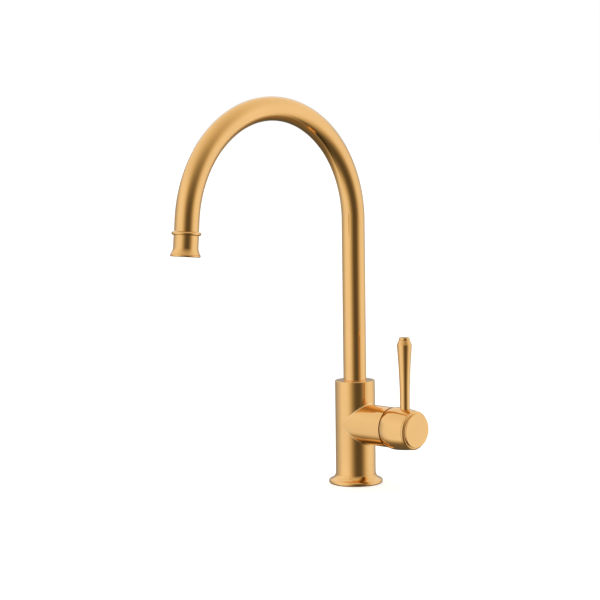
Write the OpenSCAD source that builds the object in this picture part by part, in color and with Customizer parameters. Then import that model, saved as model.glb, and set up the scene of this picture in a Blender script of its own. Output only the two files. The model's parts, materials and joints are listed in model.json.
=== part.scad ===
// Deck-mounted gooseneck faucet with a docked pull-down outlet and one side lever.
// Origin: centre of the base on the deck. +Z up, spout towards -Y, lever barrel towards +X.

/* [Body] */
// Radius of the upright body
body_r = 21.8; // [18:0.1:26]
// Height of the body's top face above the deck
body_h = 113.4; // [90:0.1:140]
// Outside radius of the foot ring on the deck
foot_r = 29.55; // [26:0.05:36]
// Height of the foot ring, where its hollow curve ends
foot_h = 10.4; // [7:0.1:16]
// Radius of the hose channel up the middle
channel_r = 6.8; // [6:0.1:8]
// Height of the floor of the spout socket
socket_z = 84; // [76:0.5:92]

/* [Spout] */
// Outside radius of the gooseneck tube
tube_r = 12.5; // [10:0.1:16]
// Wall of the gooseneck tube
tube_wall = 1.2; // [0.8:0.1:2]
// Height where the riser turns into the arch
riser_top = 288.3; // [220:0.1:340]
// Radius of the arch's centreline
arch_r = 120.4; // [90:0.1:140]
// How far round the arch turns
arch_turn = 175; // [150:1:180]
// Straight leg between the arch and the docked outlet
leg_len = 11.6; // [8:0.1:30]
// Radius of the pull-out hose
hose_r = 5.5; // [5:0.1:6.2]

/* [Outlet head] */
// Largest radius of the bead at the top of the head
bead_r = 15; // [13:0.1:17]
// Radius of the head below the bead
bell_r = 12.7; // [11:0.05:14]
// Largest radius of the flared lip
lip_r = 15.4; // [13:0.1:18]
// Distance down the outlet axis to the middle of the lip
lip_t = 35.85; // [30:0.05:60]

/* [Lever barrel] */
// Height of the barrel's axis
barrel_z = 66.4; // [55:0.1:80]
// Radius of the barrel
barrel_r = 21.85; // [18:0.05:26]
// Distance from the body axis to the barrel's open end
barrel_end = 53.8; // [45:0.1:65]
// Distance from the body axis to the lever's tilting axis
pivot_x = 63; // [58:0.1:70]
// Radius of the handle's round back about the tilting axis
ball_r = 23; // [21:0.05:26]
// How far the lever tilts to open the water
tilt_max = 20; // [10:1:25]

/* [Lever] */
// Distance from the body axis to the lever's own axis
lever_x = 72.9; // [68:0.1:80]
// Radius of the lever where it leaves the handle
lever_root_r = 5.25; // [4:0.05:7]
// Largest radius of the lever
lever_top_r = 8.05; // [6:0.05:10]
// Height of the lever's widest point
lever_wide_z = 157; // [130:0.5:190]
// Height of the lever's top
lever_h = 165.2; // [140:0.1:200]

/* [Hidden] */
$fn = 72;
eps = 0.05;
far = 200;
run = 0.05;

// foot
cove_c = [30.55, 13.07];
cove_r = 8.81;
cove_out = 27;
lip_minor = 2.6;
lip_mid_z = 2.45;
gasket_in = 22.85;
gasket_out = 26.6;
gasket_h = 2.15;

// spout socket
socket_r = 12.8;
bush_r = 13.6;
bush_z0 = 105;
bush_z1 = 110;
trim_r = 13.3;
trim_z0 = 111.5;
trim_rise = 0.5;
trim_edge = 0.2;
top_round = 0.5;
washer_h = 0.6;
tube_z0 = 104;
tube_in = tube_r - tube_wall;
spigot_r = 12.45;
spigot_neck_r = tube_in - eps;
spigot_top = 118;
spigot_bore = 7.2;
seal_minor = 1;
seal_major = 11.75;
seal_z = [89, 94];
keep_z = 100;
keep_half = 1.8;
keep_r = 11.4;
stop_r = 1.75;
hex_depth = 1.6;
stop_hex_r = 1.1;
grub_hex_r = 0.9;

// water ways
port_ring_r = 12.7;
port_angle = [0, 75, -75];
port_r = 4.5;
port_depth = 12;
riser_r = 3;
way_r = 2.5;
floor_port = [[0, -6], [5.5, 2.5], [-5.5, 2.5]];
stud_pos = -13;
stud_r = 3.4;
stud_depth = 14;

// outlet
outlet_tilt = 180 - arch_turn;
arch_end = [0, -arch_r * (1 - cos(arch_turn)), riser_top + arch_r * sin(arch_turn)];
head_t0 = leg_len + 0.2;
bead_minor = 1.85;
bead_mid = head_t0 + bead_minor;
flare_t0 = 28.3;
flare_t1 = 34.7;
flare_r1 = 15.15;
flare_power = 1.55;
lip_round = 1.15;
lip_rim = 0.9;
lip_recess = 0.2;
head_bore = 11.3;
nose_r = 9.2;
nose_t0 = 0.5;
nose_flange_t = 16.5;
nose_bottom = 19;
nose_bore = 3.2;
ferrule_r = 6.6;
ferrule_len = 14;
collar_gap = 0.3;
magnet_t = 8;
keeper_h = 1;
valve_in = 1.6;
valve_r = 4.4;
valve_len = 6.5;
valve_pocket = 7;
groove_t = [4, 6.2];
groove_r = nose_r - 1.2;
nose_seal_t = 5.1;
nose_seal_major = nose_r - 0.5;
nose_seal_minor = 0.65;
aer_r = 11.2;
aer_t0 = 21.5;
aer_t1 = 35.7;
aer_wall = 2;
aer_mouth_wall = 1.4;
mouth_len = 6;
screen_h = 0.8;
grid_h = 2.8;
grid_sink = 1.4;
grid_pitch = 2.9;
grid_hole_r = 1.35;

// cartridge
chamber_x = 36.8;
chamber_r = 16;
seat_gap = 0.4;
base_r = 12.4;
base_x0 = 37;
disc_x0 = 41;
disc_x1 = 44;
disc_x2 = 47;
fixed_disc_r = 10.5;
house_r = 12.5;
house_neck_r = 11.9;
house_in = 11.2;
house_step = 46;
house_x1 = 60;
house_lip = 58.2;
guide_x0 = 53.3;
guide_x1 = 58;
guide_r = house_in - run;
guide_neck_r = 8.3;
guide_end = 66;
move_r = 7.2;
carrier_x1 = 52.9;
ball_x = 52;
spindle_ball_r = 2.2;
spindle_rod_r = 1.6;
spindle_half = 2.5;
spindle_x0 = 60;
spindle_end = 80;
slot_half = 2.8;
slot_low = 5;
slot_high = 6.5;
pin_r = 1.25;
pin_half = 7.9;
nut_r = 15.9;
nut_x0 = 40.5;
nut_x1 = 46.8;
nut_flange_r = 14.2;
key_half = 1.5;

// handle
skirt_wall = 2.6;
skirt_in = ball_r - skirt_wall;
rim_lean = tilt_max / 2;
rim_angle = 56;
rim_off = ball_r * cos(rim_angle);
hollow_x1 = 69.5;
taper_x = 66;
taper_power = 1.3;
shell_x1 = 85.2;
pocket_r = 15;
pocket_x = 79.5;
ring_x1 = 88.3;
ring_r = 21;
ring_round = 2.5;
ring_in = 14;
cap_x0 = 88.55;
cap_x1 = 90.3;
cap_r = 18.5;
cap_round = 0.7;
cap_neck_r = 17.9;
grub_x = 75;
grub_r = 1.5;
grub_len = 10;
socket_drop = 20.8;
stud_len = 15;
lever_stud_r = 3;
finial_r = 5.65;
shoulder_z = 162.3;
lever_curve = 1.8;
lever_foot_z = 96;

brass_col = [0.87, 0.62, 0.33];
raw_col = [0.72, 0.58, 0.34];
plastic_col = [0.9, 0.9, 0.88];
black_col = [0.08, 0.08, 0.08];
steel_col = [0.75, 0.76, 0.78];
ceramic_col = [0.95, 0.93, 0.9];

// points of an arc about c, from angle a0 to a1, in n steps
function arc(c, r, a0, a1, n) =
    [for (i = [0 : n]) [c[0] + r * cos(a0 + (a1 - a0) * i / n), c[1] + r * sin(a0 + (a1 - a0) * i / n)]];

// turns a shape built on +Z so that it lies along the barrel's axis
module on_barrel(x = 0) {
    translate([x, 0, barrel_z])
        rotate([0, 90, 0])
            children();
}

// a ring or disc on the barrel's axis between two stations
module barrel_disc(x0, x1, r) {
    on_barrel(x0)
        cylinder(h = x1 - x0, r = r);
}

// the outlet's own axis: z = -t is t mm down from the end of the arch
module at_outlet() {
    translate(arch_end)
        rotate([-outlet_tilt, 0, 0])
            children();
}

// a disc on the outlet's axis from t0 down to t1
module outlet_disc(t0, t1, r) {
    at_outlet()
        translate([0, 0, -t1])
            cylinder(h = t1 - t0, r = r);
}

// a ring on the outlet's axis from t0 down to t1
module outlet_ring(t0, t1, r_in, r_out) {
    difference() {
        outlet_disc(t0, t1, r_out);
        outlet_disc(t0 - 1, t1 + 1, r_in);
    }
}

// carries a flat shape along the gooseneck's centreline
module gooseneck(z0, turn) {
    translate([0, 0, z0])
        linear_extrude(riser_top - z0)
            children();
    translate([0, -arch_r, riser_top])
        rotate([90, 0, 90])
            rotate_extrude(angle = turn)
                translate([arch_r, 0])
                    children();
}

// a straight drilling between two points
module drill(p, q, r) {
    v = q - p;
    len = norm(v);
    translate(p)
        rotate([0, acos(v[2] / len), atan2(v[1], v[0])])
            cylinder(h = len, r = r);
}

// a flat ring on the body's axis
module ring(z0, z1, r_in, r_out) {
    difference() {
        translate([0, 0, z0])
            cylinder(h = z1 - z0, r = r_out);
        translate([0, 0, z0 - 1])
            cylinder(h = z1 - z0 + 2, r = r_in);
    }
}

function port_xy(i) = [port_ring_r * cos(port_angle[i]), port_ring_r * sin(port_angle[i])];

// foot ring: rounded lip, hollow curve up to the body, groove for the gasket
module base_ring() {
    lip_a0 = -asin(lip_mid_z / lip_minor);
    cove_a0 = 180 + acos((cove_c[0] - cove_out) / cove_r);
    cove_a1 = 180 + asin((cove_c[1] - foot_h) / cove_r);
    color(brass_col)
        difference() {
            rotate_extrude()
                polygon(concat(
                    [[body_r + run, 0]],
                    arc([foot_r - lip_minor, lip_mid_z], lip_minor, lip_a0, 80, 14),
                    arc(cove_c, cove_r, cove_a0, cove_a1, 10),
                    [[body_r + run, foot_h]]));
            translate([0, 0, -1])
                difference() {
                    cylinder(h = gasket_h + 1 + eps, r = gasket_out + eps);
                    translate([0, 0, -1])
                        cylinder(h = gasket_h + 4, r = gasket_in - eps);
                }
        }
}

// rubber gasket, squeezed flush with the foot
module deck_gasket() {
    color(black_col)
        ring(0, gasket_h, gasket_in, gasket_out);
}

// drillings shared by the body and the barrel: three ways from the underside to the cartridge
module water_ways() {
    for (i = [0 : 2]) {
        x = port_xy(i)[0];
        y = port_xy(i)[1];
        z = barrel_z + floor_port[i][1];
        translate([x, y, -1])
            cylinder(h = port_depth + 1, r = port_r);
        translate([x, y, 0])
            cylinder(h = z, r = riser_r);
        drill([x, y, z], [chamber_x + 1, floor_port[i][0], z], way_r);
    }
}

// upright body, bored for the hose, the spout and the water
module body_casting() {
    color(brass_col)
        difference() {
            rotate_extrude()
                polygon([[0, 0], [body_r, 0], [body_r, body_h - top_round], [body_r - top_round, body_h],
                    [0, body_h]]);
            translate([0, 0, -1])
                cylinder(h = socket_z + 2, r = channel_r);
            translate([0, 0, socket_z])
                cylinder(h = body_h, r = socket_r);
            translate([0, 0, bush_z0])
                cylinder(h = bush_z1 - bush_z0, r = bush_r + eps);
            translate([0, 0, trim_z0 - eps])
                cylinder(h = 5, r = trim_r + eps);
            // spout stop screw, from the back
            translate([0, 0, keep_z])
                rotate([-90, 0, 0])
                    cylinder(h = body_r + 5, r = stop_r + eps);
            water_ways();
            translate([stud_pos, 0, -1])
                cylinder(h = stud_depth + 1, r = stud_r);
        }
}

// side barrel, brazed to the body: cartridge chamber and a round seat for the handle
module barrel() {
    color(brass_col)
        difference() {
            barrel_disc(0, barrel_end, barrel_r);
            cylinder(h = body_h, r = body_r);
            barrel_disc(chamber_x, barrel_end + 5, chamber_r);
            intersection() {
                translate([pivot_x, 0, barrel_z])
                    sphere(r = ball_r + seat_gap, $fn = 96);
                barrel_disc(house_step - 2, barrel_end + 5, barrel_r + 5);
            }
            water_ways();
        }
}

module swivel_bush() {
    color(plastic_col)
        ring(bush_z0, bush_z1, tube_r + run, bush_r);
}

module thrust_washer() {
    color(plastic_col)
        ring(socket_z, socket_z + washer_h, channel_r + 0.6, socket_r - 0.2);
}

// trim ring pressed into the socket's mouth, just proud of the body around the riser
module swivel_trim() {
    top = body_h + trim_rise;
    color(brass_col)
        rotate_extrude()
            polygon([[tube_r + run, trim_z0], [trim_r, trim_z0], [trim_r, top - trim_edge],
                [trim_r - trim_edge, top], [tube_r + run, top]]);
}

// socket set screw whose tip runs in the spigot's groove
module spout_stop_screw() {
    tip = keep_r + 0.3;
    screw_len = body_r - 1 - tip;
    color(steel_col)
        translate([0, tip, keep_z])
            rotate([-90, 0, 0])
                difference() {
                    cylinder(h = screw_len, r = stop_r);
                    translate([0, 0, screw_len - hex_depth])
                        cylinder(h = hex_depth + 1, r = stop_hex_r, $fn = 6);
                }
}

// cartridge foot with the three ways through it
module cartridge_base() {
    color(plastic_col)
        difference() {
            barrel_disc(base_x0, disc_x0, base_r);
            for (i = [0 : 2])
                translate([0, floor_port[i][0], floor_port[i][1]])
                    barrel_disc(base_x0 - 1, disc_x0 + 1, way_r);
            for (i = [0 : 2])
                translate([0, floor_port[i][0], floor_port[i][1]])
                    barrel_disc(base_x0 - 1, base_x0 + 1.2, way_r + 1.1);
        }
}

// three rubber rings between the cartridge and the chamber floor
module port_seals() {
    color(black_col)
        for (i = [0 : 2])
            translate([0, floor_port[i][0], floor_port[i][1]])
                difference() {
                    barrel_disc(chamber_x, base_x0 + 1.15, way_r + 1.05);
                    barrel_disc(chamber_x - 1, base_x0 + 3, way_r + 0.05);
                }
}

// lower ceramic plate with three ports
module fixed_disc() {
    color(ceramic_col)
        difference() {
            barrel_disc(disc_x0, disc_x1, fixed_disc_r);
            for (i = [0 : 2])
                translate([0, floor_port[i][0] * 0.8, floor_port[i][1] * 0.8])
                    barrel_disc(disc_x0 - 1, disc_x1 + 1, way_r - 0.5);
        }
}

// cartridge cup with a lip that keeps the spindle guide in
module cartridge_housing() {
    color(plastic_col)
        difference() {
            union() {
                barrel_disc(disc_x0 + eps, house_step, house_r);
                barrel_disc(house_step - 1, house_x1, house_neck_r);
            }
            barrel_disc(disc_x0 - 1, house_lip, house_in);
            barrel_disc(house_lip - 1, house_x1 + 1, guide_neck_r + 0.3);
        }
}

// threaded ring that clamps the cartridge in its chamber
module cartridge_nut() {
    color(raw_col)
        difference() {
            union() {
                barrel_disc(nut_x0, house_step, nut_r);
                barrel_disc(house_step - 1, nut_x1, nut_flange_r);
            }
            barrel_disc(nut_x0 - 1, house_step + eps, house_r + eps);
            barrel_disc(nut_x0, nut_x1 + 1, house_neck_r + 0.1);
            for (a = [0 : 90 : 270])
                on_barrel(nut_x1 - key_half)
                    rotate([0, 0, a])
                        translate([house_neck_r - 1, -key_half, 0])
                            cube([4, 2 * key_half, 3]);
        }
}

// cross-section of the gooseneck tube
module tube_section() {
    difference() {
        circle(r = tube_r);
        circle(r = tube_in);
    }
}

// gooseneck tube: riser and arch
module spout_tube() {
    color(brass_col)
        gooseneck(tube_z0, arch_turn)
            tube_section();
}

// straight sleeve brazed to the end of the arch, where the head docks
module spout_tip() {
    color(brass_col)
        at_outlet()
            translate([0, 0, -leg_len])
                linear_extrude(leg_len)
                    tube_section();
}

// turned end of the spout, brazed into the tube, with grooves for two seals and the stop
module spout_spigot() {
    color(raw_col)
        difference() {
            union() {
                translate([0, 0, socket_z + washer_h + eps])
                    cylinder(h = tube_z0 - eps - socket_z - washer_h - eps, r = spigot_r);
                translate([0, 0, tube_z0 - 1])
                    cylinder(h = spigot_top - tube_z0 + 1, r = spigot_neck_r);
            }
            translate([0, 0, socket_z])
                cylinder(h = spigot_top, r = spigot_bore);
            for (z = seal_z)
                ring(z - seal_minor - 0.1, z + seal_minor + 0.1, seal_major - seal_minor, far);
            ring(keep_z - keep_half - 0.3, keep_z + keep_half + 0.3, keep_r, far);
        }
}

module spigot_seals() {
    color(black_col)
        for (z = seal_z)
            translate([0, 0, z])
                rotate_extrude()
                    translate([seal_major, 0])
                        circle(r = seal_minor);
}

// guide that centres the head as it docks
module dock_collar() {
    color(plastic_col)
        outlet_ring(0.2, magnet_t, nose_r + collar_gap, tube_in - eps);
}

module dock_magnet() {
    color(steel_col)
        outlet_ring(magnet_t + eps, leg_len - 0.4, nose_r + collar_gap, tube_in - eps);
}

// pull-out hose along the gooseneck, from the underside of the body to the ferrule
module spray_hose() {
    turn = arch_turn - (ferrule_len - nose_t0 + 1) / arch_r * 180 / PI;
    color(steel_col)
        gooseneck(1, turn)
            circle(r = hose_r);
}

// crimped end of the hose, which turns in the head
module hose_ferrule() {
    color(steel_col)
        difference() {
            outlet_disc(nose_t0 - ferrule_len, nose_t0 - run, ferrule_r);
            outlet_disc(nose_t0 - ferrule_len - 1, nose_t0 + 1, nose_bore);
        }
}

// outer shell of the head: bead, short neck and flared lip
module head_shell() {
    flare_n = 8;
    color(brass_col)
        difference() {
            at_outlet()
                union() {
                    rotate_extrude()
                        polygon(concat(
                            [[0, -head_t0], [bead_r - bead_minor, -head_t0],
                             [bead_r - bead_minor, -(bead_mid + bead_minor)],
                             [bell_r, -(bead_mid + bead_minor)]],
                            [for (i = [0 : flare_n])
                                [bell_r + (flare_r1 - bell_r) * pow(i / flare_n, flare_power),
                                 -(flare_t0 + (flare_t1 - flare_t0) * i / flare_n)]],
                            arc([lip_r - lip_round, -lip_t], lip_round, 50, -90, 8),
                            [[lip_r - lip_round - lip_rim, -(lip_t + 0.8 * lip_round)],
                             [lip_r - 2 * lip_round, -(lip_t + lip_recess)],
                             [0, -(lip_t + lip_recess)]]));
                    translate([0, 0, -bead_mid])
                        rotate_extrude()
                            translate([bead_r - bead_minor, 0])
                                circle(r = bead_minor);
                }
            outlet_disc(head_t0 - 1, lip_t + 5, nose_r + eps);
            outlet_disc(nose_flange_t, lip_t + 5, head_bore);
            outlet_disc(head_t0 - 1, head_t0 + keeper_h + eps, head_bore + eps);
        }
}

// stem of the head that rises into the spout, with a flange screwed under the bead
module head_nose() {
    color(black_col)
        difference() {
            union() {
                outlet_disc(nose_t0, nose_bottom, nose_r);
                outlet_disc(nose_flange_t + eps, nose_bottom, head_bore - eps);
            }
            outlet_disc(nose_t0 - 1, nose_bottom + 1, nose_bore);
            outlet_disc(nose_bottom - valve_pocket, nose_bottom + 1, valve_r + 0.1);
            outlet_ring(groove_t[0], groove_t[1], groove_r, nose_r + 2);
        }
}

// steel ring that the dock's magnet pulls on
module keeper_ring() {
    color(steel_col)
        outlet_ring(head_t0, head_t0 + keeper_h, nose_r + 0.1, head_bore);
}

// small non-return valve in the foot of the stem
module check_valve() {
    color(plastic_col)
        outlet_ring(nose_bottom - valve_pocket + 0.1, nose_bottom - valve_pocket + 0.1 + valve_len,
            valve_in, valve_r);
}

module head_seal() {
    color(black_col)
        at_outlet()
            translate([0, 0, -nose_seal_t])
                rotate_extrude()
                    translate([nose_seal_major, 0])
                        circle(r = nose_seal_minor);
}

module aerator_housing() {
    color(plastic_col)
        difference() {
            outlet_disc(aer_t0, aer_t1, aer_r);
            outlet_disc(aer_t0 - 1, aer_t1 - mouth_len + 1, aer_r - aer_wall);
            outlet_disc(aer_t1 - mouth_len, aer_t1 + 1, aer_r - aer_mouth_wall);
        }
}

// fine mesh disc above the mixing chamber
module aerator_screen() {
    screen_t1 = aer_t1 - mouth_len - 0.2;
    color(steel_col)
        outlet_disc(screen_t1 - screen_h, screen_t1, aer_r - aer_wall - run);
}

// honeycomb grid that the water leaves through
module aerator_grid() {
    color(plastic_col)
        difference() {
            outlet_disc(aer_t1 - grid_sink - grid_h, aer_t1 - grid_sink, aer_r - aer_mouth_wall - run);
            at_outlet()
                translate([0, 0, -aer_t1])
                    for (i = [-3 : 3])
                        for (j = [-3 : 3]) {
                            x = (i + j / 2) * grid_pitch;
                            y = j * grid_pitch * sqrt(3) / 2;
                            if (norm([x, y]) < aer_r - 3)
                                translate([x, y, 0])
                                    cylinder(h = 6, r = grid_hole_r, $fn = 6);
                        }
        }
}

// turning part of the cartridge: carries the pin that the lever tilts on
module spindle_guide() {
    color(plastic_col)
        difference() {
            union() {
                barrel_disc(guide_x0, guide_x1, guide_r);
                barrel_disc(guide_x1 - 1, guide_end, guide_neck_r);
            }
            translate([guide_x0 - 1, -slot_half, barrel_z - slot_low])
                cube([guide_end - guide_x0 + 2, 2 * slot_half, slot_low + slot_high]);
            translate([pivot_x, 0, barrel_z])
                rotate([90, 0, 0])
                    cylinder(h = 40, r = pin_r, center = true);
        }
}

module pivot_pin() {
    color(steel_col)
        translate([pivot_x, 0, barrel_z])
            rotate([90, 0, 0])
                cylinder(h = 2 * pin_half, r = pin_r, center = true);
}

// square spindle with a ball at its inner end
module spindle() {
    color(steel_col)
        difference() {
            union() {
                translate([spindle_x0, -spindle_half, barrel_z - spindle_half])
                    cube([spindle_end - spindle_x0, 2 * spindle_half, 2 * spindle_half]);
                barrel_disc(ball_x, spindle_x0 + 1, spindle_rod_r);
                translate([ball_x, 0, barrel_z])
                    sphere(r = spindle_ball_r);
            }
            translate([pivot_x, 0, barrel_z])
                rotate([90, 0, 0])
                    cylinder(h = 40, r = pin_r + run, center = true);
        }
}

// radius of the handle's drum, which narrows towards its end ring
function drum_r_at(x) =
    ball_r - (ball_r - ring_r) * pow((x - taper_x) / (shell_x1 - taper_x), taper_power);

// handle: round back that hides the cartridge, and a drum that narrows towards the end
module handle_shell() {
    steps = 8;
    hole_half = spindle_half + eps;
    color(brass_col)
        difference() {
            union() {
                intersection() {
                    translate([pivot_x, 0, barrel_z])
                        sphere(r = ball_r, $fn = 96);
                    barrel_disc(30, pivot_x + 0.5, ball_r + 5);
                }
                on_barrel()
                    rotate_extrude()
                        polygon(concat(
                            [[0, pivot_x - 0.5], [ball_r - 0.02, pivot_x - 0.5], [ball_r, pivot_x]],
                            [for (i = [0 : steps])
                                let (x = taper_x + (shell_x1 - taper_x) * i / steps)
                                [drum_r_at(x), x]],
                            [[0, shell_x1]]));
            }
            // hollow behind the hub, cut on a slant so that the tilt never opens a gap
            intersection() {
                translate([pivot_x, 0, barrel_z])
                    sphere(r = skirt_in, $fn = 96);
                barrel_disc(30, hollow_x1, ball_r + 5);
            }
            translate([pivot_x, 0, barrel_z])
                rotate([0, -rim_lean, 0])
                    translate([-rim_off - far, -far / 2, -far / 2])
                        cube([far, far, far]);
            // square hole for the spindle
            translate([hollow_x1 - 1, -hole_half, barrel_z - hole_half])
                cube([spindle_end + eps - hollow_x1 + 1, 2 * hole_half, 2 * hole_half]);
            barrel_disc(pocket_x, shell_x1 + 1, pocket_r);
            translate([grub_x, 0, barrel_z - ball_r - 2])
                cylinder(h = ball_r, r = grub_r + eps);
            translate([lever_x, 0, barrel_z + socket_drop])
                cylinder(h = 10, r = lever_root_r + eps);
            translate([lever_x, 0, barrel_z + socket_drop - stud_len])
                cylinder(h = stud_len + 1, r = lever_stud_r + eps);
        }
}

// rounded ring that closes the drum
module cap_ring() {
    x0 = shell_x1 + eps;
    color(brass_col)
        on_barrel()
            rotate_extrude()
                polygon(concat(
                    [[ring_in, x0], [ring_r - 0.2, x0], [ring_r - 0.05, x0 + 0.15]],
                    arc([ring_r - ring_round, ring_x1 - ring_round], ring_round, 8, 90, 8),
                    [[ring_in, ring_x1]]));
}

// end disc with a plug that presses into the ring
module handle_cap() {
    color(brass_col)
        on_barrel()
            rotate_extrude()
                polygon(concat(
                    [[0, pocket_x + 5], [ring_in - eps, pocket_x + 5], [ring_in - eps, ring_x1 + eps],
                     [cap_neck_r, ring_x1 + eps], [cap_neck_r, cap_x0], [cap_r, cap_x0]],
                    arc([cap_r - cap_round, cap_x1 - cap_round], cap_round, 0, 90, 4),
                    [[0, cap_x1]]));
}

// set screw under the handle that grips the spindle
module grub_screw() {
    z1 = barrel_z - spindle_half - eps;
    color(steel_col)
        difference() {
            translate([grub_x, 0, z1 - grub_len])
                cylinder(h = grub_len, r = grub_r);
            translate([grub_x, 0, z1 - grub_len - 1])
                cylinder(h = hex_depth + 1, r = grub_hex_r, $fn = 6);
        }
}

// radius of the lever's curved side at height z
function lever_r_at(z) =
    let (share = (z - lever_foot_z) / (lever_wide_z - lever_foot_z))
    lever_root_r + (lever_top_r - lever_root_r) * pow(share, lever_curve);

// tapering lever, with a stud that screws into the handle
module lever_stem() {
    steps = 10;
    z0 = barrel_z + socket_drop + eps;
    color(brass_col)
        translate([lever_x, 0, 0])
            rotate_extrude()
                polygon(concat(
                    [[0, z0 - stud_len + 0.5], [lever_stud_r, z0 - stud_len + 0.5], [lever_stud_r, z0],
                     [lever_root_r, z0], [lever_root_r, lever_foot_z]],
                    [for (i = [1 : steps])
                        let (z = lever_foot_z + (lever_wide_z - lever_foot_z) * i / steps)
                        [lever_r_at(z), z]],
                    [[lever_top_r - 0.15, lever_wide_z + 0.7], [finial_r + 0.15, shoulder_z],
                     [0, shoulder_z]]));
}

// small flat button on top of the lever
module lever_finial() {
    z0 = shoulder_z + eps;
    color(brass_col)
        translate([lever_x, 0, 0])
            rotate_extrude()
                polygon(concat(
                    [[0, z0], [finial_r - 0.15, z0], [finial_r, z0 + 0.2]],
                    arc([finial_r - 0.9, lever_h - 0.9], 0.9, 0, 90, 5),
                    [[0, lever_h]]));
}

// upper ceramic plate, which the spindle slides and turns
module moving_disc() {
    color(ceramic_col)
        difference() {
            barrel_disc(disc_x1 + run, disc_x2, move_r);
            translate([0, 0, -1])
                barrel_disc(disc_x1, disc_x1 + 1.6, move_r - 3);
        }
}

// carrier that links the spindle's ball to the upper plate
module disc_carrier() {
    color(plastic_col)
        difference() {
            barrel_disc(disc_x2 + eps, carrier_x1, move_r);
            barrel_disc(ball_x - spindle_ball_r - 0.5, carrier_x1 + 1, spindle_ball_r + 0.1);
        }
}

base_ring();
deck_gasket();
body_casting();
barrel();
swivel_bush();
swivel_trim();
thrust_washer();
spout_stop_screw();
cartridge_base();
port_seals();
fixed_disc();
cartridge_housing();
cartridge_nut();
spout_tube();
spout_tip();
spout_spigot();
spigot_seals();
dock_collar();
dock_magnet();
spray_hose();
hose_ferrule();
head_shell();
head_nose();
keeper_ring();
check_valve();
head_seal();
aerator_housing();
aerator_screen();
aerator_grid();
spindle_guide();
pivot_pin();
spindle();
handle_shell();
cap_ring();
handle_cap();
grub_screw();
lever_stem();
lever_finial();
moving_disc();
disc_carrier();
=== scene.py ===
import json
import math
import bmesh
import bpy
from mathutils import Matrix, Vector


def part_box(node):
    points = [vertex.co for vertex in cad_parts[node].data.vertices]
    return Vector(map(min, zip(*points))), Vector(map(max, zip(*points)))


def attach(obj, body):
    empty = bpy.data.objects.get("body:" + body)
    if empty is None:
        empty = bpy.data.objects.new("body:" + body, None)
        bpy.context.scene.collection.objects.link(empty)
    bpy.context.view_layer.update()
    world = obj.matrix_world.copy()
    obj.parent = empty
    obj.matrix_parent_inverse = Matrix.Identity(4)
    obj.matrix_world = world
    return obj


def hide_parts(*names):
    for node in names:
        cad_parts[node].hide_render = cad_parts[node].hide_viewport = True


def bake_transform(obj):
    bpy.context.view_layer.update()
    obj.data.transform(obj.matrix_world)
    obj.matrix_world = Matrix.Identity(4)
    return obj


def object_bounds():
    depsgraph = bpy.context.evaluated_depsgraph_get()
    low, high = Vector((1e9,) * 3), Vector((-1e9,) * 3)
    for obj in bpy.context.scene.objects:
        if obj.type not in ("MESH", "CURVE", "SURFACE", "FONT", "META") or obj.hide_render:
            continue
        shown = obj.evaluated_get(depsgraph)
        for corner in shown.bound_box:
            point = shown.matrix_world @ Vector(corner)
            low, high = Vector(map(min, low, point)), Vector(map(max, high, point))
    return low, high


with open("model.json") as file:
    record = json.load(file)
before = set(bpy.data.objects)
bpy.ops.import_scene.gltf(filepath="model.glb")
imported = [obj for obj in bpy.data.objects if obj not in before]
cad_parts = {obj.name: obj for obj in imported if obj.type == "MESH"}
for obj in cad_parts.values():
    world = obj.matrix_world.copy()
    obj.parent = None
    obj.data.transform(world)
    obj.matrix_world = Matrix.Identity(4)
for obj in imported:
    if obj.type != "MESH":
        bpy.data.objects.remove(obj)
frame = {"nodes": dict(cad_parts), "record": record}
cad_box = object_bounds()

scene = bpy.context.scene
scene.view_settings.view_transform = "Standard"
scene.view_settings.look = "None"


# ---------------------------------------------------------------- camera
def make_camera():
    """Looks at the faucet from its front right, with the spout away to the left."""
    right = Vector((1, 1, 0)).normalized()
    away = Vector((-1, 1, 0)).normalized()
    up = Vector((0, 0, 1))
    pitch, roll = 0.0905, 0.0136
    place = right * -0.05882 + away * -2.01445 + up * 0.38471
    forward = away * math.cos(pitch) - up * math.sin(pitch)
    lift = away * math.sin(pitch) + up * math.cos(pitch)
    cam_x = right * math.cos(roll) - lift * math.sin(roll)
    cam_y = right * math.sin(roll) + lift * math.cos(roll)
    data = bpy.data.cameras.new("camera")
    data.lens, data.sensor_width = 111.42, 36  # mm
    data.clip_end = 50
    cam = bpy.data.objects.new("camera", data)
    scene.collection.objects.link(cam)
    turned = Matrix((cam_x, cam_y, -forward)).transposed()
    cam.matrix_world = Matrix.Translation(place) @ turned.to_4x4()
    scene.camera = cam


make_camera()


# ---------------------------------------------------------------- materials
def nodes_of(name):
    m = bpy.data.materials.new(name)
    m.use_nodes = True
    t = m.node_tree
    b = t.nodes["Principled BSDF"]
    return m, t, b


def link(t, a, b):
    t.links.new(a, b)


class Nodes:
    """Small helper that writes a sum as shader nodes."""

    def __init__(self, tree):
        self.t = tree

    def _put(self, socket, v):
        if isinstance(v, (int, float)):
            socket.default_value = v
        else:
            link(self.t, v, socket)

    def math(self, op, a, b=0.0):
        n = self.t.nodes.new("ShaderNodeMath")
        n.operation = op
        self._put(n.inputs[0], a)
        self._put(n.inputs[1], b)
        return n.outputs[0]

    def along(self, vec, axis):
        n = self.t.nodes.new("ShaderNodeVectorMath")
        n.operation = "DOT_PRODUCT"
        link(self.t, vec, n.inputs[0])
        n.inputs[1].default_value = axis
        return n.outputs["Value"]

    def smooth(self, v, lo, hi, out_lo=0.0, out_hi=1.0, shape="SMOOTHSTEP"):
        n = self.t.nodes.new("ShaderNodeMapRange")
        n.interpolation_type = shape
        link(self.t, v, n.inputs["Value"])
        n.inputs["From Min"].default_value = lo
        n.inputs["From Max"].default_value = hi
        n.inputs["To Min"].default_value = out_lo
        n.inputs["To Max"].default_value = out_hi
        return n.outputs["Result"]


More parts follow.
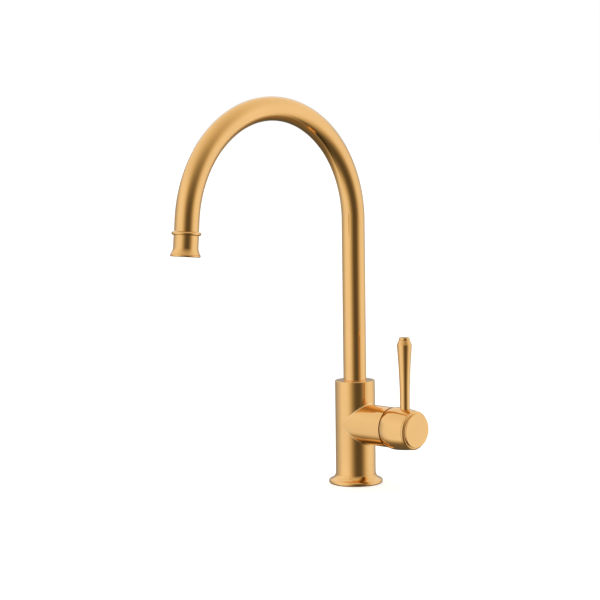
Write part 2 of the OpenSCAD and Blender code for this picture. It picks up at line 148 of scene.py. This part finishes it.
def coords(t, scale=(1, 1, 1)):
    """Object coordinates in metres, stretched by scale."""
    c = t.nodes.new("ShaderNodeTexCoord")
    m = t.nodes.new("ShaderNodeMapping")
    m.inputs["Scale"].default_value = scale
    link(t, c.outputs["Object"], m.inputs["Vector"])
    return m.outputs["Vector"]


def noise(t, vec, scale, detail=3.0, rough=0.5):
    n = t.nodes.new("ShaderNodeTexNoise")
    n.inputs["Scale"].default_value = scale
    n.inputs["Detail"].default_value = detail
    n.inputs["Roughness"].default_value = rough
    link(t, vec, n.inputs["Vector"])
    return n.outputs["Fac"]


def ramp(t, fac, stops):
    r = t.nodes.new("ShaderNodeValToRGB")
    el = r.color_ramp.elements
    while len(el) < len(stops):
        el.new(0.5)
    for e, (p, c) in zip(el, stops):
        e.position = p
        e.color = (*c, 1)
    link(t, fac, r.inputs["Fac"])
    return r.outputs["Color"]


def span(t, fac, lo, hi):
    """Maps 0..1 to lo..hi."""
    m = t.nodes.new("ShaderNodeMapRange")
    m.inputs["To Min"].default_value = lo
    m.inputs["To Max"].default_value = hi
    link(t, fac, m.inputs["Value"])
    return m.outputs["Result"]


def bump(t, b, height, strength, distance):
    n = t.nodes.new("ShaderNodeBump")
    n.inputs["Strength"].default_value = strength
    n.inputs["Distance"].default_value = distance
    link(t, height, n.inputs["Height"])
    link(t, n.outputs["Normal"], b.inputs["Normal"])


def satin_brass(name, tone):
    """Gold-coloured brass with a fine satin grain, slight tone drift and faint wiping marks."""
    smoothest, roughest = 0.03, 0.19
    m, t, b = nodes_of(name)
    b.inputs["Metallic"].default_value = 1.0
    vec = coords(t)
    drift = noise(t, vec, 22.0, detail=4.0)
    lo = tuple(c * 0.96 for c in tone)
    hi = tuple(min(c * 1.03, 1) for c in tone)
    link(t, ramp(t, drift, [(0.3, lo), (0.7, hi)]), b.inputs["Base Color"])
    fine = noise(t, vec, 2600.0, detail=2.0)
    wipe = noise(t, coords(t, scale=(1, 1, 0.25)), 60.0, detail=5.0, rough=0.65)
    marks = Nodes(t).math("MULTIPLY", fine, wipe)
    link(t, span(t, marks, smoothest, roughest), b.inputs["Roughness"])
    bump(t, b, fine, strength=0.12, distance=0.00002)
    return m


def plain_metal(name, tone, rough):
    """Bare metal with a fine grain."""
    m, t, b = nodes_of(name)
    b.inputs["Metallic"].default_value = 1.0
    vec = coords(t)
    drift = noise(t, vec, 60.0, detail=4.0)
    lo = tuple(c * 0.9 for c in tone)
    link(t, ramp(t, drift, [(0.3, lo), (0.7, tone)]), b.inputs["Base Color"])
    fine = noise(t, vec, 900.0, detail=3.0)
    link(t, span(t, fine, rough * 0.8, rough * 1.3), b.inputs["Roughness"])
    bump(t, b, fine, strength=0.15, distance=0.00004)
    return m


def moulded(name, tone, rough):
    """Rubber, plastic or ceramic with a faint moulded texture."""
    m, t, b = nodes_of(name)
    vec = coords(t)
    drift = noise(t, vec, 90.0, detail=3.0)
    lo = tuple(c * 0.92 for c in tone)
    link(t, ramp(t, drift, [(0.3, lo), (0.7, tone)]), b.inputs["Base Color"])
    fine = noise(t, vec, 1500.0, detail=2.0)
    link(t, span(t, fine, rough * 0.85, rough * 1.2), b.inputs["Roughness"])
    bump(t, b, fine, strength=0.2, distance=0.00005)
    return m


def braided(name):
    """Woven nylon: two sets of strands that cross and pass over and under each other."""
    around, strand = 12, 0.0029  # half waves around the hose, and the length of one along it
    m, t, b = nodes_of(name)
    n = Nodes(t)
    uv = t.nodes.new("ShaderNodeUVMap")
    uv.uv_map = "along"
    xyz = t.nodes.new("ShaderNodeSeparateXYZ")
    link(t, uv.outputs["UV"], xyz.inputs["Vector"])
    turn = n.math("MULTIPLY", xyz.outputs["X"], math.pi * around)
    run = n.math("MULTIPLY", xyz.outputs["Y"], math.pi / strand)
    one = n.math("ABSOLUTE", n.math("SINE", n.math("ADD", turn, run)))
    two = n.math("ABSOLUTE", n.math("SINE", n.math("SUBTRACT", turn, run)))
    weave = n.math("MULTIPLY", n.math("SINE", turn), n.math("COSINE", run))
    over = n.math("GREATER_THAN", weave, 0.0)
    under = n.math("SUBTRACT", 1.0, over)
    top = n.math("ADD", n.math("MULTIPLY", one, over), n.math("MULTIPLY", two, under))
    thread = noise(t, coords(t), 3500.0, detail=2.0)
    height = n.math("ADD", n.math("MULTIPLY", top, 0.8), n.math("MULTIPLY", thread, 0.2))
    # colour follows the weave's height: painted shade between the strands, painted sheen on their
    # crowns
    dark, mid, light = (0.012, 0.012, 0.013), (0.055, 0.055, 0.058), (0.15, 0.15, 0.155)
    link(t, ramp(t, height, [(0.2, dark), (0.6, mid), (0.95, light)]), b.inputs["Base Color"])
    link(t, span(t, thread, 0.42, 0.62), b.inputs["Roughness"])
    bump(t, b, height, strength=0.8, distance=0.0004)
    return m


GOLD = (0.871, 0.533, 0.216)
PAINTED_HIGHLIGHT_TONE = (0.97, 0.72, 0.4)  # painted highlight: paler than the brass, so the fillet shows as a bright line
MATERIALS = {
    "brass_satin": satin_brass("brass_satin", GOLD),
    "brass_raw": plain_metal("brass_raw", (0.78, 0.6, 0.3), 0.3),
    "rubber_black": moulded("rubber_black", (0.02, 0.02, 0.021), 0.6),
    "plastic_white": moulded("plastic_white", (0.8, 0.8, 0.77), 0.4),
    "plastic_black": moulded("plastic_black", (0.03, 0.03, 0.032), 0.4),
    "steel": plain_metal("steel", (0.6, 0.6, 0.61), 0.28),
    "magnet": plain_metal("magnet", (0.42, 0.42, 0.44), 0.3),
    "ceramic": moulded("ceramic", (0.85, 0.84, 0.8), 0.2),
    "hose_braid": braided("hose_braid"),
}


def paint(obj, material):
    obj.data.materials.clear()
    obj.data.materials.append(material)


slots = {s["node"]: s["material_slot"] for s in frame["record"]["subparts"]}
for node, obj in frame["nodes"].items():
    paint(obj, MATERIALS[slots[node]])


# ---------------------------------------------------------------- pull-out hose
joints = {j["name"]: j for j in frame["record"]["behaviour"]["joints"]}
OUTLET = Vector(joints["head_spin"]["pos_m"])
DOWN = Vector(joints["head_spin"]["axis"]).normalized()
REACH = joints["head_pull"]["range_m"][1]
TURN = math.pi - math.atan2(-DOWN.y, -DOWN.z)  # angle that the arch turns through
ARCH = -OUTLET.y / (1 - math.cos(TURN))  # radius of the arch on which the hose lies
RISER = OUTLET.z - ARCH * math.sin(TURN)  # height where that arch begins


def mesh_object(name, bm, material):
    mesh = bpy.data.meshes.new(name)
    bm.to_mesh(mesh)
    bm.free()
    mesh.shade_smooth()
    o = bpy.data.objects.new(name, mesh)
    scene.collection.objects.link(o)
    paint(o, material)
    return o


def half_width(node):
    lo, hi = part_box(node)
    return (hi.x - lo.x) / 2


def half_depth(node):
    lo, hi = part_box(node)
    return (hi.y - lo.y) / 2


def ferrule_top():
    """Middle of the ferrule's upper end, on the outlet's axis."""
    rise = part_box("hose_ferrule")[1].z - OUTLET.z + DOWN.y * half_width("hose_ferrule")
    return OUTLET + DOWN * (rise / DOWN.z)


def gooseneck(angle):
    """Point on the arch."""
    return Vector((0, -ARCH * (1 - math.cos(angle)), RISER + ARCH * math.sin(angle)))


LEAVE = TURN - 0.45  # where on the arch the hose's last stretch begins


def held_route():
    """Up the riser and round the arch."""
    riser_steps, arch_steps = 30, 48
    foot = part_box("spray_hose")[0].z
    up = [Vector((0, 0, foot + (RISER - foot) * i / riser_steps)) for i in range(riser_steps)]
    return up + [gooseneck(LEAVE * i / arch_steps) for i in range(arch_steps + 1)]


def last_route(end):
    """From the arch, eased onto the ferrule's axis, with points crowded at the end, which stretches."""
    steps = 90
    p0 = gooseneck(LEAVE)
    reach = (end - p0).length
    t0 = Vector((0, -math.sin(LEAVE), math.cos(LEAVE))) * reach
    t1 = DOWN * reach
    route = []
    for i in range(steps + 1):
        u = 1 - (1 - i / steps) ** 2
        route.append(p0 * (2 * u**3 - 3 * u**2 + 1) + t0 * (u**3 - 2 * u**2 + u)
                     + end * (3 * u**2 - 2 * u**3) + t1 * (u**3 - u**2))
    return route


def path_length(route):
    return sum((b - a).length for a, b in zip(route, route[1:]))


def circle(bm, centre, radius, side, sides):
    """Vertices of a circle through the x axis and side."""
    turns = [math.tau * k / sides for k in range(sides)]
    return [bm.verts.new(centre + radius * (Vector((math.cos(a), 0, 0)) + side * math.sin(a)))
            for a in turns]


def sleeve(name, route, start, paid_out):
    """Woven tube along route. In its UV, v is the length from the hose's foot when pulled out."""
    sides = 28
    radius = half_width("spray_hose")
    bm = bmesh.new()
    uv = bm.loops.layers.uv.new("along")
    rings, along, length = [], [], start
    for i, p in enumerate(route):
        ahead = route[min(i + 1, len(route) - 1)] - route[max(i - 1, 0)]
        across = Vector((0, ahead.z, -ahead.y)).normalized()
        length += (p - route[i - 1]).length if i else 0.0
        along.append(length + paid_out(p))
        rings.append(circle(bm, p, radius, across, sides))
    for i in range(len(rings) - 1):
        for k in range(sides):
            j = (k + 1) % sides
            face = bm.faces.new((rings[i][k], rings[i][j], rings[i + 1][j], rings[i + 1][k]))
            corners = ((k, i), (k + 1, i), (k + 1, i + 1), (k, i + 1))
            for loop, (u, v) in zip(face.loops, corners):
                loop[uv].uv = (u / sides, along[v])
    bm.faces.new(rings[0])
    bm.faces.new(rings[-1])
    bmesh.ops.recalc_face_normals(bm, faces=bm.faces)
    hose = mesh_object(name, bm, MATERIALS["hose_braid"])
    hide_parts("spray_hose")
    return hose


def make_hose():
    """The hose in the spout, and its last stretch, whose weave is laid out for the length paid out when
    the head is pulled down.
    """
    pay_from, pay_to = 0.016, 0.001  # above the ferrule, the stretch that lengthens
    end = ferrule_top()
    start_pay, end_pay = end - DOWN * pay_from, end - DOWN * pay_to

    def paid_out(p):
        share = min(max((p - start_pay).dot(DOWN) / (end_pay - start_pay).length, 0), 1)
        return REACH * share * share * (3 - 2 * share)

    held = held_route()
    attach(sleeve("hose_in_spout", held, 0.0, lambda p: 0.0), "spout")
    last = sleeve("hose_sleeve", last_route(end), path_length(held), paid_out)
    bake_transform(last)


make_hose()


def make_crimp():
    """Ferrule with three rolled crimps and a bored foot, on the outlet's axis."""
    top = ferrule_top()
    radius = half_width("hose_ferrule")
    bore, chamfer, past_outlet = 0.0032, 0.0004, 0.00045
    crimps, crimp_depth, crimp_half, crimp_steps = (0.003, 0.0062, 0.0094), 0.0005, 0.0011, 8
    length = (OUTLET - top).dot(DOWN) + past_outlet
    profile = [(bore, 0.0), (radius - chamfer, 0.0), (radius, chamfer)]
    for middle in crimps:
        for i in range(crimp_steps + 1):
            x = -1 + 2 * i / crimp_steps
            dip = crimp_depth * (1 + math.cos(math.pi * x)) / 2
            profile.append((radius - dip, middle + crimp_half * x))
    profile += [(radius, length - chamfer), (radius - chamfer, length), (bore, length)]
    side = Vector((0, DOWN.z, -DOWN.y))
    sides = 48
    bm = bmesh.new()
    rings = [circle(bm, top + DOWN * down, r, side, sides) for r, down in profile]
    for i in range(len(rings)):
        following = rings[(i + 1) % len(rings)]
        for k in range(sides):
            j = (k + 1) % sides
            bm.faces.new((rings[i][k], rings[i][j], following[j], following[k]))
    bmesh.ops.recalc_face_normals(bm, faces=bm.faces)
    crimp = mesh_object("crimped_ferrule", bm, MATERIALS["steel"])
    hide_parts("hose_ferrule")
    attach(crimp, "hose_end")


make_crimp()


# ---------------------------------------------------------------- fillet joint, painted paler as a highlight
def make_fillet():
    """Fine fillet where the barrel meets the body: the path of a small ball rolled along both."""
    ball, sink = 0.0011, 0.00015
    steps, arc_steps, ends = 72, 6, 87  # it ends 87 degrees to either side of the barrel's axis
    body_r, barrel_r = half_width("body_casting"), half_depth("barrel")
    body_path, barrel_path = body_r + ball, barrel_r + ball
    body_under, barrel_under = body_r - sink, barrel_r - sink
    lo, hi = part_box("barrel")
    axis = (lo.z + hi.z) / 2
    bm = bmesh.new()
    for side in (1, -1):
        rows = []
        for i in range(steps + 1):
            turn = math.radians(-ends + 2 * ends * i / steps)
            x, y = body_path * math.cos(turn), body_path * math.sin(turn)
            rise = math.sqrt(barrel_path ** 2 - y * y)
            centre = Vector((x, y, rise))
            on_body = Vector((x * body_r / body_path, y * body_r / body_path, rise))
            on_barrel = Vector((x, y * barrel_r / barrel_path, rise * barrel_r / barrel_path))
            a, b = (on_body - centre).normalized(), (on_barrel - centre).normalized()
            row = [centre + ball * a.slerp(b, k / arc_steps) for k in range(arc_steps + 1)]
            x, y = body_under * math.cos(turn), body_under * math.sin(turn)
            row.append(Vector((x, y, math.sqrt(barrel_under ** 2 - y * y))))
            rows.append([bm.verts.new((v.x, v.y, axis + side * v.z)) for v in row])
        for i in range(steps):
            for k in range(len(rows[i])):
                j = (k + 1) % len(rows[i])
                bm.faces.new((rows[i][k], rows[i][j], rows[i + 1][j], rows[i + 1][k]))
        bm.faces.new(rows[0])
        bm.faces.new(rows[-1])
    bmesh.ops.recalc_face_normals(bm, faces=bm.faces)
    # the fillet's paler tone is a painted highlight along the joint
    fillet = mesh_object("barrel_fillet", bm, satin_brass("fillet_painted_highlight", PAINTED_HIGHLIGHT_TONE))
    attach(fillet, "body")


make_fillet()


# ---------------------------------------------------------------- room
def make_floor():
    """Pale floor that glows slightly and is left out of the reflections."""
    bpy.ops.mesh.primitive_plane_add(size=60, location=(0, 0, cad_box[0][2]))
    floor = bpy.context.object
    floor.name = "floor"
    m, _, b = nodes_of("floor")
    b.inputs["Base Color"].default_value = (0.91, 0.93, 0.95, 1)
    b.inputs["Roughness"].default_value = 0.9
    b.inputs["Specular IOR Level"].default_value = 0.1
    b.inputs["Emission Color"].default_value = (1, 1, 1, 1)
    b.inputs["Emission Strength"].default_value = 0.5
    paint(floor, m)
    floor.visible_glossy = False


make_floor()


def make_world():
    """White studio: a broad soft dark area in front of the faucet, a dark floor, a dimmer far side."""
    dark_way, dark_wide, dark_high = math.radians(-30), math.radians(45), math.radians(65)
    brightest, dark_depth, top_depth, far_depth = 1.02, 0.92, 0.12, 0.62
    ground_tilt, ground_least = 0.67, 0.2
    far_way = math.radians(147)
    w = bpy.data.worlds.new("studio")
    scene.world = w
    w.use_nodes = True
    t = w.node_tree
    n = Nodes(t)
    c = t.nodes.new("ShaderNodeTexCoord")
    d = c.outputs["Generated"]
    ahead = n.along(d, (math.cos(dark_way), math.sin(dark_way), 0))
    aside = n.along(d, (-math.sin(dark_way), math.cos(dark_way), 0))
    rise = n.along(d, (0, 0, 1))
    away = n.along(d, (-math.sqrt(0.5), math.sqrt(0.5), 0))
    up = n.math("MAXIMUM", rise, 0.0)
    across = n.math("DIVIDE", n.math("ABSOLUTE", n.math("ARCSINE", aside)), dark_wide)
    over = n.math("DIVIDE", n.math("ARCTAN2", up, ahead), dark_high)
    spread = n.math("ADD", n.math("POWER", across, 3.0), n.math("POWER", over, 2.0))
    dark = n.math("EXPONENT", n.math("MULTIPLY", spread, -1.0))
    front = n.math("SUBTRACT", brightest, n.math("MULTIPLY", dark, dark_depth))
    low = n.math("SUBTRACT", rise, n.math("MULTIPLY", away, ground_tilt))
    ground = n.smooth(low, -1.08, -0.58, out_lo=ground_least)
    top = n.math("SUBTRACT", 1.0, n.math("MULTIPLY", n.math("MULTIPLY", up, up), top_depth))
    level = n.math("MULTIPLY", n.math("MULTIPLY", front, ground), top)
    tint = ramp(t, level, [
        (0.0, (0.0, 0.0, 0.0)),
        (0.12, (0.144, 0.12, 0.08)),
        (0.45, (0.52, 0.45, 0.32)),
        (0.75, (0.81, 0.75, 0.62)),
        (1.0, (1.0, 1.0, 1.0)),
    ])
    back = n.along(d, (math.cos(far_way), math.sin(far_way), 0))
    sideways = n.smooth(back, 0.12, 1.0, shape="LINEAR")
    far = n.math("MULTIPLY", sideways, n.smooth(rise, 0.1, 0.45, out_lo=1.0, out_hi=0.0))
    bg = t.nodes["Background"]
    link(t, tint, bg.inputs["Color"])
    link(t, n.math("SUBTRACT", 1.0, n.math("MULTIPLY", far, far_depth)), bg.inputs["Strength"])
    # the camera itself sees plain white
    lp = t.nodes.new("ShaderNodeLightPath")
    white = t.nodes.new("ShaderNodeBackground")
    white.inputs["Color"].default_value = (1, 1, 1, 1)
    mix = t.nodes.new("ShaderNodeMixShader")
    link(t, lp.outputs["Is Camera Ray"], mix.inputs["Fac"])
    link(t, bg.outputs["Background"], mix.inputs[1])
    link(t, white.outputs["Background"], mix.inputs[2])
    link(t, mix.outputs["Shader"], t.nodes["World Output"].inputs["Surface"])


make_world()
